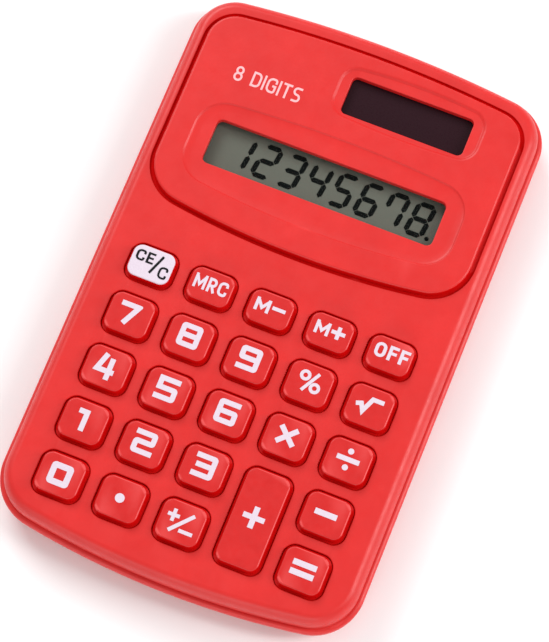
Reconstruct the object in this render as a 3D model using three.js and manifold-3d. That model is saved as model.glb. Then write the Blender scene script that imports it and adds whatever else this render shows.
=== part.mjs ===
// A pocket calculator, taken apart: two moulded shells, a rubber keypad with 24 keys, a circuit
// board, a liquid crystal display, a solar cell, and a button cell behind a lift-off door.
// Millimetres. +X is the calculator's right, +Y its display end and +Z up, out of the keys.
// The origin is the middle of the footprint, on the surface that the calculator lies on.
import * as THREE from "three";
import { mergeVertices } from "three/addons/utils/BufferGeometryUtils.js";
import Module from "manifold-3d";

const wasm = await Module();
wasm.setup();

// ------------------------------------------------------------------ driving dimensions

const FLAT = 1e6; // an end arc of this radius is a straight edge
const FIT = 0.3; // gap between neighbouring pieces

// Outlines have straight sides and ends that bulge in a large arc.
const BODY = {
  x: 0, halfWidth: 36, top: 57.5, bottom: -57.5,
  topArc: 240, bottomArc: 172, topCorner: 9, bottomCorner: 10,
};
const PANEL = {
  x: 0, halfWidth: 31.9, top: 52.4, bottom: 10,
  topArc: 240, bottomArc: 170, topCorner: 5.7, bottomCorner: 8.2,
};
const DISPLAY_RECESS = {
  x: 0, halfWidth: 27.3, top: 34.5, bottom: 15.2,
  topArc: 250, bottomArc: 170, topCorner: 6, bottomCorner: 6,
};
const SOLAR_RECESS = {
  x: 10, halfWidth: 14.7, top: 50, bottom: 38.4,
  topArc: 105, bottomArc: 140, topCorner: 3.5, bottomCorner: 3.5,
};
const DISPLAY_WINDOW = roundedRectangle(0, 25.45, 46.7, 9.3, 1.2);
const SOLAR_WINDOW = roundedRectangle(9.9, 43.65, 24.8, 7.9, 1.1);

// Hollows under the panel, for the display and the solar cell.
const DISPLAY_POCKET = roundedRectangle(0, 25.05, 54.4, 18.1, 1);
const SOLAR_POCKET = roundedRectangle(10, 44, 31, 11.6, 1);

// Heights, from the bottom up.
const NUB_HEIGHT = 0.4;
const FLOOR_TOP = 1.8;
const REAR_RIM = 6.5;
const SEAM = 6.6;
const ROOF_UNDERSIDE = 9.4;
const POCKET_ROOF = 10.4;
const CHANNEL_FLOOR = 10.5;
const FACE = 11;
const PANEL_FACE = 12.1;
const KEY_TOP = 12.4;

// Walls, and the distance of each shell's side from the body's outline.
const FRONT_SET_BACK = 1;
const WALL = 1.5;
const SHOULDER = { across: 2.05, down: 3 };
const REAR_EDGE = { across: 3, down: 5.2 };
const REAR_LIP = 0.8;
const CHANNEL_WIDTH = 0.8;
const CHANNEL_DRAFT = 0.15;

// The keypad: columns left to right, rows top to bottom.
const COLUMNS = [-24, -12, 0, 12, 24];
const ROWS = [-1.9, -12.5, -23.5, -34.5, -45.5];
const KEY = { width: 8.3, height: 7.5, corner: 1.7, draft: 0.35, rounding: 0.35 };
const SHORT_KEY_HEIGHT = 6.3;
const KEY_GAP = 0.35;
const FLANGE = { beyondTop: 1.05, bottom: 8.5, thickness: 0.6 };
const PLUNGER = { inset: 1.6, bottom: 7.2 };
const KEY_NAMES = [
  ["clear", "memory_recall", "memory_minus", "memory_plus", "off"],
  ["7", "8", "9", "percent", "square_root"],
  ["4", "5", "6", "multiply", "divide"],
  ["1", "2", "3", "plus", "minus"],
  ["0", "point", "sign", null, "equals"],
];
const TALL_KEY = "plus"; // it takes its own row and the one below

const MAT = { ...roundedRectangle(0, -23.4, 58.2, 53, 3), bottomZ: 6.2, topZ: 7 };
const BOARD = { ...roundedRectangle(0, -18.6, 58.8, 62.8, 2), bottomZ: 5.1, topZ: 5.9 };

const SCREW = { radius: 0.8, headRadius: 1.75, headHeight: 1, sides: 10 };
const CASE_SCREWS = [[-29, 50.4], [29, 50.4], [-20, -52.7], [20, -52.7]];
const CASE_BOSS = { radius: 2.3, hole: 1.15, counterbore: 2.1, seat: 2.6 };
const BOARD_SCREWS = [[-18, -6.9], [18, -6.9], [-18, -29], [18, -29], [-6, -40]];
const BOARD_BOSS = { radius: 1.7, hole: 1.15 };

const GLASS = 0.7;
const DISPLAY = { halfWidth: 25.4, top: 32.4, bottom: 19.4, ledge: 2.6, topZ: 10.05, gap: 0.1 };
const SOLAR = { x: 10, y: 44, width: 28, height: 10.6, thickness: 1.1, topZ: 10.1 };

const CELL = { x: -15.5, y: 43.5, radius: 5.8, height: 3.05, bottomZ: 1.95, sides: 24 };
const CUP = { inner: 6.2, outer: 7.4, floor: 2.6, top: 4.8 };
const DOOR = roundedRectangle(CELL.x, CELL.y, 19, 17, 1.6);
const DOOR_PLATE_TOP = 1.2;
const DOOR_SPIGOT_TOP = 1.65;

const WIRE_RADIUS = 0.4;

const NUBS = [[-30, 38], [30, 38], [-30, -42], [30, -42]];
const NUB_RADIUS = 2.2;

// ------------------------------------------------------------------ materials

const material = (color, roughness, metalness = 0) =>
  new THREE.MeshStandardMaterial({ color, roughness, metalness });
const RED_PLASTIC = material(0xe8403c, 0.45);
const RED_RUBBER = material(0xe0332e, 0.6);
const WHITE_PRINT = material(0xf4ecf2, 0.55);
const BOARD_GREEN = material(0x2f6b3a, 0.5);
const DISPLAY_GLASS = material(0xb9c2b4, 0.1);
const DISPLAY_BACKING = material(0x787c6e, 0.5);
const SOLAR_GLASS = material(0x2e1d20, 0.15);
const STEEL = material(0xb8b8bc, 0.3, 1);
const BLACK_RESIN = material(0x15161a, 0.35);
const CARBON_FILM = material(0x2b2a28, 0.6);
const RED_WIRE = material(0xb81d1a, 0.5);
const BLACK_WIRE = material(0x1a1a1c, 0.5);
const CAPACITOR_BLUE = material(0x1d3f7a, 0.4);
const DIODE_AMBER = material(0xc46a2c, 0.25);

// ------------------------------------------------------------------ outlines and solids

function roundedRectangle(x, y, width, height, corner) {
  return {
    x, halfWidth: width / 2, top: y + height / 2, bottom: y - height / 2,
    topArc: FLAT, bottomArc: FLAT, topCorner: corner, bottomCorner: corner,
  };
}

// The same outline, moved inward by a distance, or outward where it is negative.
function inset(outline, by) {
  const sharpest = 0.3;
  return {
    ...outline,
    halfWidth: outline.halfWidth - by,
    top: outline.top - by,
    bottom: outline.bottom + by,
    topArc: outline.topArc - by,
    bottomArc: outline.bottomArc - by,
    topCorner: Math.max(outline.topCorner - by, sharpest),
    bottomCorner: Math.max(outline.bottomCorner - by, sharpest),
  };
}

// The outline's points, anticlockwise from the right-hand side.
function outlinePoints(outline, cornerSteps, arcSteps) {
  const points = [];
  const sweep = (x, y, radius, from, to, steps, skipEnds) => {
    const skipped = skipEnds ? 1 : 0;
    for (let i = skipped; i <= steps - skipped; i++) {
      const angle = from + ((to - from) * i) / steps;
      points.push(new THREE.Vector2(x + radius * Math.cos(angle), y + radius * Math.sin(angle)));
    }
  };
  const end = (limit, arc, corner, upward) => {
    const across = outline.halfWidth - corner;
    const along = Math.sqrt((arc - corner) ** 2 - across ** 2);
    const arcY = limit - upward * arc;
    const cornerY = arcY + upward * along;
    const tilt = Math.atan2(along, across);
    const start = upward > 0 ? 0 : Math.PI;
    const side = outline.x + upward * across;
    const otherSide = outline.x - upward * across;
    sweep(side, cornerY, corner, start, start + tilt, cornerSteps, false);
    sweep(outline.x, arcY, arc, start + tilt, start + Math.PI - tilt, arcSteps, true);
    sweep(otherSide, cornerY, corner, start + Math.PI - tilt, start + Math.PI, cornerSteps, false);
  };
  end(outline.top, outline.topArc, outline.topCorner, 1);
  end(outline.bottom, outline.bottomArc, outline.bottomCorner, -1);
  return points;
}

// A closed solid through one outline at several levels, each [inset, z], from the bottom up.
function stack(outline, levels, cornerSteps = 3, arcSteps = 1) {
  const loops = levels.map(([by, z]) => {
    const points = outlinePoints(inset(outline, by), cornerSteps, arcSteps);
    return { points, z };
  });
  const count = loops[0].points.length;
  const positions = loops.flatMap(({ points, z }) => points.flatMap((p) => [p.x, p.y, z]));
  const faces = [];
  for (let level = 0; level + 1 < loops.length; level++) {
    for (let i = 0; i < count; i++) {
      const a = level * count + i;
      const b = level * count + ((i + 1) % count);
      faces.push(a, b, b + count, a, b + count, a + count);
    }
  }
  for (const [a, b, c] of THREE.ShapeUtils.triangulateShape(loops[0].points, [])) {
    faces.push(c, b, a);
  }
  const last = (loops.length - 1) * count;
  for (const [a, b, c] of THREE.ShapeUtils.triangulateShape(loops.at(-1).points, [])) {
    faces.push(last + a, last + b, last + c);
  }
  const geometry = new THREE.BufferGeometry();
  geometry.setAttribute("position", new THREE.Float32BufferAttribute(positions, 3));
  geometry.setIndex(faces);
  return solid(geometry);
}

function cylinder([x, y], radius, bottom, top, sides = SCREW.sides) {
  const geometry = new THREE.CylinderGeometry(radius, radius, top - bottom, sides);
  geometry.rotateX(Math.PI / 2);
  geometry.translate(x, y, (bottom + top) / 2);
  return solid(geometry);
}

function box(x0, x1, y0, y1, z0, z1) {
  const geometry = new THREE.BoxGeometry(x1 - x0, y1 - y0, z1 - z0);
  geometry.translate((x0 + x1) / 2, (y0 + y1) / 2, (z0 + z1) / 2);
  return solid(geometry);
}

// A flat strip of even thickness: its centre line in the Y-Z plane, swept along X.
function strip(line, thickness, x0, x1) {
  const half = thickness / 2;
  const normals = line.map((_, i) => {
    const before = line[Math.max(i - 1, 0)];
    const after = line[Math.min(i + 1, line.length - 1)];
    const along = new THREE.Vector2(after[0] - before[0], after[1] - before[1]).normalize();
    return new THREE.Vector2(-along.y, along.x).multiplyScalar(half);
  });
  const above = line.map(([y, z], i) => new THREE.Vector2(y + normals[i].x, z + normals[i].y));
  const below = line.map(([y, z], i) => new THREE.Vector2(y - normals[i].x, z - normals[i].y));
  const shape = new THREE.Shape([...below, ...above.reverse()]);
  const geometry = new THREE.ExtrudeGeometry(shape, { depth: x1 - x0, bevelEnabled: false });
  // The shape's own X and Y become the object's Y and Z, and its depth runs along X.
  geometry.applyMatrix4(new THREE.Matrix4().set(0, 0, 1, x0, 1, 0, 0, 0, 0, 1, 0, 0, 0, 0, 0, 1));
  return solid(geometry);
}

function solid(geometry) {
  const bare = geometry.clone();
  bare.deleteAttribute("normal");
  bare.deleteAttribute("uv");
  const merged = mergeVertices(bare, 1e-4);
  return new wasm.Manifold(
    new wasm.Mesh({
      numProp: 3,
      vertProperties: merged.attributes.position.array,
      triVerts: new Uint32Array(merged.index.array),
    }),
  );
}

const join = (first, ...rest) => rest.reduce((whole, piece) => whole.add(piece), first);
const cut = (first, ...rest) => rest.reduce((whole, piece) => whole.subtract(piece), first);

const calculator = new THREE.Group();

function addPiece(name, shape, look) {
  const made = shape.getMesh();
  const geometry = new THREE.BufferGeometry();
  const positions = new THREE.Float32BufferAttribute(made.vertProperties, made.numProp);
  geometry.setAttribute("position", positions);
  geometry.setIndex([...made.triVerts]);
  geometry.computeVertexNormals();
  const mesh = new THREE.Mesh(geometry, look);
  mesh.name = name;
  calculator.add(mesh);
}

// ------------------------------------------------------------------ keys

// Each key's place and the size of its flat top.
function keyLayout() {
  const keys = [];
  KEY_NAMES.forEach((names, row) =>
    names.forEach((name, column) => {
      if (!name) return;
      const tall = name === TALL_KEY;
      const y = tall ? (ROWS[row] + ROWS[row + 1]) / 2 : ROWS[row];
      const height = row === 0 ? SHORT_KEY_HEIGHT : KEY.height;
      const pitch = ROWS[row] - (ROWS[row + 1] ?? 0);
      keys.push({ name, x: COLUMNS[column], y, height: tall ? height + pitch : height });
    }),
  );
  return keys;
}

const keyTopOutline = (key) =>
  roundedRectangle(key.x, key.y, KEY.width, key.height, KEY.corner);
const keyHoleOutline = (key) => inset(keyTopOutline(key), -KEY.draft - KEY_GAP);

function keySolid(key) {
  const top = keyTopOutline(key);
  const flangeTop = FLANGE.bottom + FLANGE.thickness;
  return stack(top, [
    [PLUNGER.inset, PLUNGER.bottom],
    [PLUNGER.inset, FLANGE.bottom],
    [-FLANGE.beyondTop, FLANGE.bottom],
    [-FLANGE.beyondTop, flangeTop],
    [-KEY.draft, flangeTop],
    [0, KEY_TOP - KEY.rounding],
    [KEY.rounding, KEY_TOP],
  ], 2);
}

// ------------------------------------------------------------------ shells

function shoulderLevels() {
  const steps = 4;
  const levels = [[FRONT_SET_BACK, SEAM]];
  for (let i = 0; i <= steps; i++) {
    const angle = ((Math.PI / 2) * i) / steps;
    levels.push([
      FRONT_SET_BACK + SHOULDER.across * (1 - Math.cos(angle)),
      FACE - SHOULDER.down * (1 - Math.sin(angle)),
    ]);
  }
  return levels;
}

function displayRibs() {
  const [thick, bottom, top] = [1, 7.4, POCKET_ROOF + 0.3];
  const left = -DISPLAY.halfWidth - FIT;
  const upper = DISPLAY.top + FIT;
  return [
    box(left - thick, left, DISPLAY.bottom, upper, bottom, top),
    box(-left, -left + thick, DISPLAY.bottom, upper, bottom, top),
    box(left - thick, -left + thick, upper, upper + thick, bottom, top),
  ];
}

function solarRibs() {
  const [thick, bottom, top] = [0.9, 9, POCKET_ROOF + 0.3];
  const left = SOLAR.x - SOLAR.width / 2 - FIT;
  const right = SOLAR.x + SOLAR.width / 2 + FIT;
  const [lower, upper] = [SOLAR.y - SOLAR.height / 2, SOLAR.y + SOLAR.height / 2];
  return [
    box(left - thick, left, lower, upper, bottom, top),
    box(right, right + thick, lower, upper, bottom, top),
  ];
}

function frontCase(keys) {
  const outer = stack(BODY, shoulderLevels(), 5, 6);
  const channel = stack(
    inset(PANEL, -CHANNEL_WIDTH),
    [[0, CHANNEL_FLOOR], [-CHANNEL_DRAFT, FACE + 1]], 4, 6,
  );
  const plateau = stack(
    PANEL,
    [[-CHANNEL_DRAFT, CHANNEL_FLOOR - 0.4], [0, PANEL_FACE - 0.3], [0.3, PANEL_FACE]], 4, 6,
  );
  const cavity = stack(
    BODY,
    [
      [FRONT_SET_BACK + WALL, SEAM - 1],
      [FRONT_SET_BACK + WALL, 8],
      [FRONT_SET_BACK + WALL + 1.2, ROOF_UNDERSIDE],
    ], 4, 6,
  );
  const recesses = [
    stack(DISPLAY_RECESS, [[0.9, PANEL_FACE - 0.4], [-0.3, PANEL_FACE + 0.3]], 4, 6),
    stack(SOLAR_RECESS, [[0.5, PANEL_FACE - 0.4], [-0.3, PANEL_FACE + 0.3]], 3, 4),
  ];
  const through = [DISPLAY_WINDOW, SOLAR_WINDOW, ...keys.map(keyHoleOutline)].map((outline) =>
    stack(outline, [[0, ROOF_UNDERSIDE - 1], [0, KEY_TOP]], 2),
  );
  const pockets = [DISPLAY_POCKET, SOLAR_POCKET].map((outline) =>
    stack(outline, [[0, ROOF_UNDERSIDE - 1], [0, POCKET_ROOF]], 2),
  );
  const bosses = [
    ...CASE_SCREWS.map((at) =>
      cylinder(at, CASE_BOSS.radius, SEAM, ROOF_UNDERSIDE + 0.3),
    ),
    ...BOARD_SCREWS.map((at) =>
      cylinder(at, BOARD_BOSS.radius, BOARD.topZ + FIT, ROOF_UNDERSIDE + 0.3),
    ),
  ];
  const holes = [
    ...CASE_SCREWS.map((at) => cylinder(at, CASE_BOSS.hole, SEAM - 1, 9)),
    ...BOARD_SCREWS.map((at) => cylinder(at, BOARD_BOSS.hole, BOARD.bottomZ, 9.6)),
  ];
  const shell = cut(join(cut(outer, channel), plateau), ...recesses, cavity, ...pockets);
  const fitted = join(shell, ...bosses, ...displayRibs(), ...solarRibs());
  return cut(fitted, ...through, ...holes);
}

function rearLevels() {
  const steps = 4;
  const levels = [];
  for (let i = 0; i <= steps; i++) {
    const angle = ((Math.PI / 2) * i) / steps;
    levels.push([
      REAR_EDGE.across * (1 - Math.sin(angle)),
      NUB_HEIGHT + REAR_EDGE.down * (1 - Math.cos(angle)),
    ]);
  }
  levels.push([0, REAR_RIM - REAR_LIP], [0.25 * REAR_LIP, REAR_RIM - 0.3 * REAR_LIP]);
  levels.push([REAR_LIP, REAR_RIM]);
  return levels;
}

function rearCase() {
  const outer = stack(BODY, rearLevels(), 5, 6);
  const nubs = NUBS.map((at) => cylinder(at, NUB_RADIUS, 0, NUB_HEIGHT + 0.5));
  const cavity = stack(
    BODY,
    [[REAR_EDGE.across + 0.6, FLOOR_TOP], [FRONT_SET_BACK + WALL, 3.4], [FRONT_SET_BACK + WALL, 8]], 4, 6,
  );
  const posts = CASE_SCREWS.map((at) =>
    cylinder(at, CASE_BOSS.radius + 0.1, 1, REAR_RIM),
  );
  const centre = [CELL.x, CELL.y];
  const bay = join(
    stack(inset(DOOR, -1.2), [[0, FLOOR_TOP - 0.5], [0, CUP.floor]]),
    cylinder(centre, CUP.outer, CUP.floor - 0.3, CUP.top, CELL.sides),
  );
  const notches = [
    box(CELL.x - 2.5, CELL.x + 2.5, CELL.y - 9, CELL.y, CUP.floor, CUP.top + 1),
    box(CELL.x, CELL.x + 9, CELL.y - 2.5, CELL.y + 2.5, CUP.floor, CUP.top + 1),
  ];
  const doorway = [
    stack(DOOR, [[-FIT, -1], [-FIT, DOOR_PLATE_TOP + FIT]]),
    cylinder(centre, CUP.inner, 0, CUP.top + 1, CELL.sides),
  ];
  const screwHoles = CASE_SCREWS.flatMap((at) => [
    cylinder(at, CASE_BOSS.counterbore, -1, CASE_BOSS.seat),
    cylinder(at, CASE_BOSS.hole, 0, 8),
  ]);
  const shell = cut(join(outer, ...nubs), cavity);
  return cut(join(shell, bay, ...posts), ...notches, ...doorway, ...screwHoles);
}

function batteryDoor() {
  const plate = stack(DOOR, [[0.2, NUB_HEIGHT], [0, NUB_HEIGHT + 0.2], [0, DOOR_PLATE_TOP]]);
  const spigot = cylinder([CELL.x, CELL.y], CUP.inner - FIT, 1, DOOR_SPIGOT_TOP, CELL.sides);
  const grips = [0, 1, 2].map((i) => {
    const y = DOOR.bottom + 2.2 + 1.3 * i;
    return box(CELL.x - 4, CELL.x + 4, y - 0.3, y + 0.3, NUB_HEIGHT - 0.5, NUB_HEIGHT + 0.3);
  });
  return cut(join(plate, spigot), ...grips);
}

// ------------------------------------------------------------------ keypad mat and board

function keypadMat(keys) {
  const sheet = stack(MAT, [[0, MAT.bottomZ], [0, MAT.topZ]]);
  const openings = keys.map((key) =>
    stack(inset(keyTopOutline(key), PLUNGER.inset - 0.4), [[0, 5], [0, 8]], 1),
  );
  const clearances = BOARD_SCREWS.map((at) => cylinder(at, BOARD_BOSS.radius + FIT, 5, 8));
  return cut(sheet, ...openings, ...clearances);
}

function circuitBoard() {
  const sheet = stack(BOARD, [[0, BOARD.bottomZ], [0, BOARD.topZ]]);
  return cut(sheet, ...BOARD_SCREWS.map((at) => cylinder(at, SCREW.radius + FIT, 4, 7)));
}

// ------------------------------------------------------------------ display, solar cell and power

function addDisplay() {
  const frontBottom = DISPLAY.topZ - GLASS;
  const rearTop = frontBottom - DISPLAY.gap;
  const rearBottom = rearTop - GLASS;
  const lower = DISPLAY.bottom - DISPLAY.ledge;
  const w = DISPLAY.halfWidth;
  const front = box(-w, w, DISPLAY.bottom, DISPLAY.top, frontBottom, DISPLAY.topZ);
  const rear = box(-w, w, lower, DISPLAY.top, rearBottom, rearTop);
  const backing = box(-w + 0.5, w - 0.5, lower + 0.5, DISPLAY.top - 0.5, 7, rearBottom - 0.1);
  const ribbonLine = [
    [DISPLAY.bottom - 0.4, rearTop + 0.2], [lower, rearTop + 0.2], [lower - 1.2, 7.8],
    [lower - 2.6, 6.9], [lower - 4, BOARD.topZ + 0.4], [lower - 6.5, BOARD.topZ + 0.4],
  ];
  addPiece("lcd_front_glass", front, DISPLAY_GLASS);
  addPiece("lcd_rear_glass", rear, DISPLAY_GLASS);
  addPiece("lcd_reflector", backing, DISPLAY_BACKING);
  addPiece("lcd_ribbon", strip(ribbonLine, 0.15, -22, 22), CARBON_FILM);
}

function addSolarCell() {
  const half = { x: SOLAR.width / 2, y: SOLAR.height / 2 };
  const plate = box(
    SOLAR.x - half.x, SOLAR.x + half.x, SOLAR.y - half.y, SOLAR.y + half.y,
    SOLAR.topZ - SOLAR.thickness, SOLAR.topZ,
  );
  addPiece("solar_cell", plate, SOLAR_GLASS);
}

// A wire along a smooth curve through the given points.
function wire(points) {
  const curve = new THREE.CatmullRomCurve3(points.map((p) => new THREE.Vector3(...p)));
  const section = new THREE.Shape();
  section.absarc(0, 0, WIRE_RADIUS, 0, 2 * Math.PI);
  const steps = Math.ceil(curve.getLength() / 2.2);
  const options = { steps, curveSegments: 3, extrudePath: curve, bevelEnabled: false };
  return solid(new THREE.ExtrudeGeometry(section, options));
}

function addWires() {
  const solarBack = SOLAR.topZ - SOLAR.thickness - FIT - WIRE_RADIUS;
  const boardEdge = BOARD.top - 2;
  const underBoard = BOARD.bottomZ - FIT - WIRE_RADIUS;
  const fromSolar = (x, y, lane) => [
    [x, y, solarBack], [x + 2, y - 0.5, solarBack], [lane, y - 3, 6.6], [lane, 34, 5],
    [lane, 20, 4.6], [lane - 1, boardEdge + 3, 4.3], [lane - 3, boardEdge - 1, underBoard],
  ];
  const onCup = CUP.floor + FIT + WIRE_RADIUS;
  const fromCell = (x, y, lane) => [
    [x, y, onCup], [x - 0.5, y - 3, onCup], [lane, y - 8, 3], [lane, 22, 3],
    [lane, boardEdge + 3, 3.6], [lane + 0.5, boardEdge - 1, underBoard],
  ];
  addPiece("solar_wire_positive", wire(fromSolar(20, 46.5, 28.6)), RED_WIRE);
  addPiece("solar_wire_negative", wire(fromSolar(20, 42, 26.8)), BLACK_WIRE);
  addPiece("battery_wire_positive", wire(fromCell(-6, 38.6, -12)), RED_WIRE);
  addPiece("battery_wire_negative", wire(fromCell(-15.5, 33.8, -20)), BLACK_WIRE);
}

function addPower() {
  const top = CELL.bottomZ + CELL.height;
  const body = cylinder([CELL.x, CELL.y], CELL.radius, CELL.bottomZ, top - 0.5, CELL.sides);
  const cap = cylinder([CELL.x, CELL.y], CELL.radius - 1, top - 0.9, top, CELL.sides);
  addPiece("button_cell", join(body, cap), STEEL);

  // The cap's leaf lies over the cell and steps down outside the cup; the can's leaf stands beside it.
  const outside = CELL.y - CUP.outer - 0.8;
  const capLine = [
    [CELL.y + 2, top + 0.35], [CELL.y - 4, top + 0.45], [outside, 5], [outside, CUP.floor + 0.3],
  ];
  addPiece("battery_contact_negative", strip(capLine, 0.3, CELL.x - 2, CELL.x + 2), STEEL);
  const side = CELL.x + CELL.radius + FIT;
  const spring = box(side, side + 0.3, CELL.y - 2, CELL.y + 2, CUP.floor + 0.1, 4.6);
  const footTop = CUP.floor + 0.4;
  const foot = box(side, CELL.x + CUP.outer + 1, CELL.y - 2, CELL.y + 2, CUP.floor + 0.1, footTop);
  addPiece("battery_contact_positive", join(spring, foot), STEEL);
}

function addBoardParts() {
  const under = BOARD.bottomZ - 0.1;
  const blob = new THREE.LatheGeometry(
    [[0, 0], [4.5, 0], [4.2, -0.5], [3.2, -1], [1.6, -1.3], [0, -1.4]]
      .reverse()
      .map(([radius, z]) => new THREE.Vector2(radius, z)),
    18,
  );
  blob.rotateX(Math.PI / 2);
  blob.translate(2, -18, under);
  addPiece("chip_cover", solid(blob), BLACK_RESIN);

  const can = (radius, length, x, y) => {
    const geometry = new THREE.CylinderGeometry(radius, radius, length, 14);
    geometry.rotateZ(Math.PI / 2);
    geometry.translate(x, y, under - radius - 0.05);
    return solid(geometry);
  };
  addPiece("storage_capacitor", can(1.3, 5, -8, 6), CAPACITOR_BLUE);
  addPiece("clamp_diode", can(0.9, 3.6, 10, 6), DIODE_AMBER);
}

// ------------------------------------------------------------------ screws

// A pan-head screw standing up from its head's top, which has a cross recess underneath.
function screw([x, y], seat, tip) {
  const head = cylinder([x, y], SCREW.headRadius, seat - SCREW.headHeight, seat);
  const shank = cylinder([x, y], SCREW.radius, seat - 0.3, tip);
  const [long, wide, depth] = [1.1, 0.25, 0.55];
  const low = seat - SCREW.headHeight - 1;
  const high = seat - SCREW.headHeight + depth;
  return cut(
    join(head, shank),
    box(x - long, x + long, y - wide, y + wide, low, high),
    box(x - wide, x + wide, y - long, y + long, low, high),
  );
}

// ------------------------------------------------------------------ the assembly

const keys = keyLayout();
addPiece("front_case", frontCase(keys), RED_PLASTIC);
addPiece("rear_case", rearCase(), RED_PLASTIC);
addPiece("battery_door", batteryDoor(), RED_PLASTIC);
addPiece("keypad_mat", keypadMat(keys), RED_RUBBER);
for (const key of keys) {
  addPiece(`key_${key.name}`, keySolid(key), key.name === "clear" ? WHITE_PRINT : RED_RUBBER);
}
addPiece("circuit_board", circuitBoard(), BOARD_GREEN);
addDisplay();
addSolarCell();
addPower();
addWires();
addBoardParts();
CASE_SCREWS.forEach((at, i) =>
  addPiece(`case_screw_${i + 1}`, screw(at, CASE_BOSS.seat - 0.1, 8.6), STEEL),
);
BOARD_SCREWS.forEach((at, i) =>
  addPiece(`board_screw_${i + 1}`, screw(at, BOARD.bottomZ - 0.1, 9.2), STEEL),
);

export default calculator;
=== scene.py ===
"""A red pocket calculator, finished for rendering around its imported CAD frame.

Shapes are written in millimetres in the part's own frame, +X to the calculator's right, +Y towards
its display and +Z out of its keys, and are turned into metres when their meshes are made.
"""
import math

import bmesh
import bpy
from mathutils import Matrix, Vector
from mathutils.geometry import delaunay_2d_cdt


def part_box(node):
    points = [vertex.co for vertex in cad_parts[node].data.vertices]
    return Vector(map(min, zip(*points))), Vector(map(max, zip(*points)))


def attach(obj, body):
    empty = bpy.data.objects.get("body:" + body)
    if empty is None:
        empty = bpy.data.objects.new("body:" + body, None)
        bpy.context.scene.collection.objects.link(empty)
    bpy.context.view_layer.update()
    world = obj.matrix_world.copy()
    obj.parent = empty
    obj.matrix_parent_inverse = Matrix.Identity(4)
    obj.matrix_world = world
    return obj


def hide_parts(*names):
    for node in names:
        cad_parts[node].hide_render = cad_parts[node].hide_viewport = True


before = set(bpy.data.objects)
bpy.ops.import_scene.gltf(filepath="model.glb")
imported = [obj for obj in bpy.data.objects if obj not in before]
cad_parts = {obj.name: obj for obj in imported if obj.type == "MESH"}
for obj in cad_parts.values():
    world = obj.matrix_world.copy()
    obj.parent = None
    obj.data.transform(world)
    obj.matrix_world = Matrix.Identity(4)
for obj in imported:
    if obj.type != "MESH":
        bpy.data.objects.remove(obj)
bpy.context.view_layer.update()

MM = 0.001


def box_mm(node):
    """A CAD node's lowest and highest corners in millimetres."""
    low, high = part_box(node)
    return low / MM, high / MM


# ------------------------------------------------------------------ dimensions

FLAT = 1e5  # an end arc of this radius is a straight edge


def plate(x, y, width, height, corner, top_arc=FLAT, bottom_arc=FLAT, bottom_corner=None):
    """An outline with straight sides, arced ends and round corners, about its middle."""
    return {
        "x": x, "half_width": width / 2, "top": y + height / 2, "bottom": y - height / 2,
        "top_arc": top_arc, "bottom_arc": bottom_arc,
        "top_corner": corner, "bottom_corner": bottom_corner or corner,
    }


def between(x, half_width, bottom, top, corner, top_arc=FLAT, bottom_arc=FLAT, bottom_corner=None):
    """The same outline, given by its two ends."""
    middle, height = (top + bottom) / 2, top - bottom
    return plate(x, middle, 2 * half_width, height, corner, top_arc, bottom_arc, bottom_corner)


front_high = box_mm("front_case")[1]
rear_low, rear_high = box_mm("rear_case")
glass_low, glass_high = box_mm("lcd_front_glass")
door_low, door_high = box_mm("battery_door")
cell_low, cell_high = box_mm("button_cell")
KEY_TOP = box_mm("key_7")[1].z

# The case, from its CAD boxes down to the features that have no node of their own.
BODY = between(0, rear_high.x, rear_low.y, rear_high.y, 9, 240, 172, 10)
SET_BACK = rear_high.x - front_high.x
SEAM = rear_high.z + 0.04
PANEL_FACE = front_high.z
FACE = PANEL_FACE - 1.1
CHANNEL_FLOOR = FACE - 0.5
ROOF_UNDERSIDE = FACE - 1.6
POCKET_ROOF = FACE - 0.6
PANEL = between(0, 31.9, 10, 52.4, 5.7, 240, 170, 8.2)
CHANNEL_WIDTH = 0.8
CHANNEL_DRAFT = 0.15
SHOULDER_ACROSS, SHOULDER_DOWN = 2.05, 3
WALL = 1.5

RECESS_FLOOR = PANEL_FACE - 0.4  # of both recesses, round the display and round the solar cell
DISPLAY_RECESS = between(0, 27.3, 15.2, 34.5, 6, 250, 170)
DISPLAY_WINDOW = plate(0, 25.45, 46.7, 9.3, 1.2)
DISPLAY_POCKET = plate(0, 25.05, 54.4, 18.1, 1)
SOLAR_RECESS = between(10, 14.7, 38.4, 50, 3.5, 105, 140)
SOLAR_WINDOW = plate(9.9, 43.65, 24.8, 7.9, 1.1)
SOLAR_POCKET = plate(10, 44, 31, 11.6, 1)

DOOR = plate(*((door_low + door_high) / 2)[:2], *(door_high - door_low)[:2], 1.6)
CUP_INNER, CUP_OUTER = 6.2, 7.4
CUP_FLOOR, CUP_TOP = 2.6, 4.8
NOTCH_HALF = 2.5  # half the width of the cup's notches for the cell's contacts
NOTCH_REACH = 9  # how far they run from the cell's middle
SPIGOT = 5.9  # the radius of the boss that stands on the door, inside the cup
NUBS = [(-30, 38), (30, 38), (-30, -42), (30, -42)]
CASE_SCREWS = sorted(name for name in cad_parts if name.startswith("case_screw"))

KEY_DRAFT = 0.35
KEY_GAP = 0.35
KEY_FLANGE = 1.05  # how far a key's hidden flange stands out past the outline of its top
FLANGE_BOTTOM, FLANGE_TOP = 8.5, 9.1
SIDE_SHADE_DEPTH = 0.36  # how far below its top the painted shade on a key's sides begins
INK = 0.05  # how far print stands above what it lies on

REAR_ACROSS, REAR_DOWN = 3, 5.2
REAR_FACE = door_low.z
FLOOR_TOP = 1.8
LIP = 0.8
POST_RADIUS, THREAD_RADIUS = 2.4, 1.15


# ------------------------------------------------------------------ outlines

def inset(outline, by):
    """The outline moved inward by a distance, or outward where it is negative."""
    sharpest = 0.01
    moved = dict(outline)
    moved["half_width"] -= by
    moved["top"] -= by
    moved["bottom"] += by
    for name in ("top_arc", "bottom_arc"):
        moved[name] -= by
    for name in ("top_corner", "bottom_corner"):
        moved[name] = max(moved[name] - by, sharpest)
    return moved


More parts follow.
